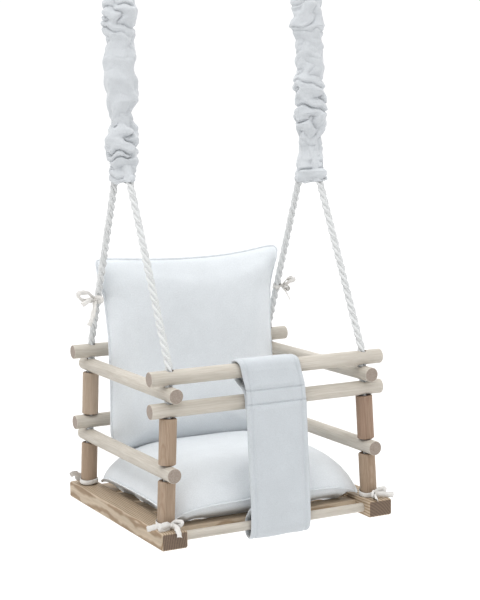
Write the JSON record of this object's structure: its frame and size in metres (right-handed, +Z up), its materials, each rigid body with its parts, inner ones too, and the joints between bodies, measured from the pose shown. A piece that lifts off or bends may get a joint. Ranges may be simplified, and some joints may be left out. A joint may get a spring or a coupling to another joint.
{
  "type": "toddler bucket swing",
  "caption": "Toddler bucket swing: a cage of dowel rails and spacers on rope over a slatted base, with tied cushions, a padded crotch strap and sleeved ropes to steel rings.",
  "frame": {"origin": "middle of the seat's footprint, level with the lowest point of the hanging strap loop, 10 mm below the undersides of the side boards", "axes": "+Z up towards the hanging rings, +Y towards the backrest, so the child faces -Y, +X to the right when seen from the front"},
  "size_m": [0.423, 0.396, 0.957],
  "materials": {
    "pine_board": "satin",
    "rail_wood": "satin",
    "spacer_wood": "satin",
    "cotton_rope": "matte",
    "whipping_twine": "matte",
    "cotton_tape": "matte",
    "fleece": "matte",
    "wadding": "matte",
    "ring_steel": "satin"
  },
  "bodies": {
    "rings": {"hanging_ring_left": "ring_steel", "hanging_ring_right": "ring_steel"},
    "seat": {"back_cushion_cover": "fleece", "back_cushion_wadding": "wadding", "back_low_rail": "rail_wood", "back_tie_left": "cotton_tape", "back_tie_right": "cotton_tape", "back_top_rail": "rail_wood", "front_dowel": "rail_wood", "front_low_rail": "rail_wood", "front_top_rail": "rail_wood", "rope_left": "cotton_rope", "rope_right": "cotton_rope", "rope_sleeve_left": "fleece", "rope_sleeve_right": "fleece", "rope_whipping_left": "whipping_twine", "rope_whipping_right": "whipping_twine", "seat_cushion_cover": "fleece", "seat_cushion_wadding": "wadding", "seat_slat_1": "pine_board", "seat_slat_2": "pine_board", "seat_slat_3": "pine_board", "seat_slat_4": "pine_board", "seat_slat_5": "pine_board", "seat_tie_back_left": "cotton_tape", "seat_tie_back_right": "cotton_tape", "seat_tie_front_left": "cotton_tape", "seat_tie_front_right": "cotton_tape", "side_board_left": "pine_board", "side_board_right": "pine_board", "side_low_rail_left": "rail_wood", "side_low_rail_right": "rail_wood", "side_top_rail_left": "rail_wood", "side_top_rail_right": "rail_wood"},
    "strap": {"crotch_strap": "fleece", "crotch_strap_padding": "wadding"},
    "spacer_back_high_left": {"spacer_back_high_left": "spacer_wood"},
    "spacer_back_high_right": {"spacer_back_high_right": "spacer_wood"},
    "spacer_back_low_left": {"spacer_back_low_left": "spacer_wood"},
    "spacer_back_low_right": {"spacer_back_low_right": "spacer_wood"},
    "spacer_front_high_left": {"spacer_front_high_left": "spacer_wood"},
    "spacer_front_high_right": {"spacer_front_high_right": "spacer_wood"},
    "spacer_front_low_left": {"spacer_front_low_left": "spacer_wood"},
    "spacer_front_low_right": {"spacer_front_low_right": "spacer_wood"}
  },
  "joints": [
    {"name": "swing", "type": "hinge", "parent": "rings", "child": "seat", "pos_m": [0, 0.006, 0.905], "axis": [1, 0, 0], "range_deg": [-35, 35]},
    {"name": "strap_slide", "type": "slide", "parent": "seat", "child": "strap", "axis": [1, 0, 0], "range_m": [-0.1, 0.1]},
    {"name": "spin_back_high_left", "type": "hinge", "parent": "seat", "child": "spacer_back_high_left", "pos_m": [-0.18041, 0.162, 0.2], "axis": [0.0487, 0, 0.9988], "continuous": true},
    {"name": "spin_back_high_right", "type": "hinge", "parent": "seat", "child": "spacer_back_high_right", "pos_m": [0.18041, 0.162, 0.2], "axis": [-0.0487, 0, 0.9988], "continuous": true},
    {"name": "spin_back_low_left", "type": "hinge", "parent": "seat", "child": "spacer_back_low_left", "pos_m": [-0.18649, 0.162, 0.0755], "axis": [0.0487, 0, 0.9988], "continuous": true},
    {"name": "spin_back_low_right", "type": "hinge", "parent": "seat", "child": "spacer_back_low_right", "pos_m": [0.18649, 0.162, 0.0755], "axis": [-0.0487, 0, 0.9988], "continuous": true},
    {"name": "spin_front_high_left", "type": "hinge", "parent": "seat", "child": "spacer_front_high_left", "pos_m": [-0.18166, -0.162, 0.1745], "axis": [0.0487, 0, 0.9988], "continuous": true},
    {"name": "spin_front_high_right", "type": "hinge", "parent": "seat", "child": "spacer_front_high_right", "pos_m": [0.18166, -0.162, 0.1745], "axis": [-0.0487, 0, 0.9988], "continuous": true},
    {"name": "spin_front_low_left", "type": "hinge", "parent": "seat", "child": "spacer_front_low_left", "pos_m": [-0.18649, -0.162, 0.0755], "axis": [0.0487, 0, 0.9988], "continuous": true},
    {"name": "spin_front_low_right", "type": "hinge", "parent": "seat", "child": "spacer_front_low_right", "pos_m": [0.18649, -0.162, 0.0755], "axis": [-0.0487, 0, 0.9988], "continuous": true}
  ]
}
